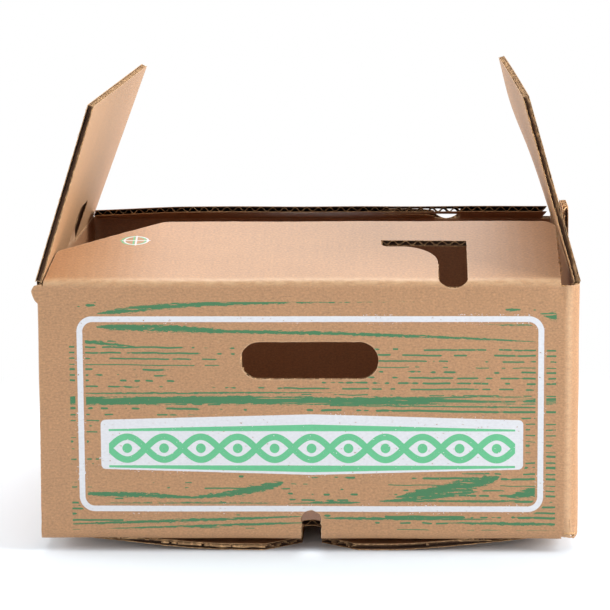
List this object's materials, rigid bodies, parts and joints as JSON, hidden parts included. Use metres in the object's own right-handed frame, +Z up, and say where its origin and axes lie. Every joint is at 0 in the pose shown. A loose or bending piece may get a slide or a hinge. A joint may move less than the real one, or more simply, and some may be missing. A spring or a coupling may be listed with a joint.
{
  "type": "cardboard tray box",
  "caption": "Open corrugated tray box with hand holes in its end panels, vented inner flaps, hinged side flaps and stacking tabs.",
  "frame": {"origin": "on the standing surface, under the middle of the box's outline", "axes": "+X across the hand-hole panels to the right of the printed front, +Y from the front to the rear, +Z up"},
  "size_m": [0.3504, 0.32, 0.2977],
  "materials": {
    "kraft_board": "matt kraft liner with a fibre grain, worn at its folds"
  },
  "bodies": {
    "body": {"box_body": "kraft_board"},
    "left_side_flap": {"left_flap": "kraft_board"},
    "right_side_flap": {"right_flap": "kraft_board"}
  },
  "joints": [
    {"name": "left_flap_hinge", "type": "hinge", "parent": "body", "child": "left_side_flap", "pos_m": [-0.1753, 0, 0.1784], "axis": [0, -1, 0], "range_deg": [-1.5, 196]},
    {"name": "right_flap_hinge", "type": "hinge", "parent": "body", "child": "right_side_flap", "pos_m": [0.1753, 0, 0.1784], "axis": [0, 1, 0], "range_deg": [-1.5, 194]}
  ]
}
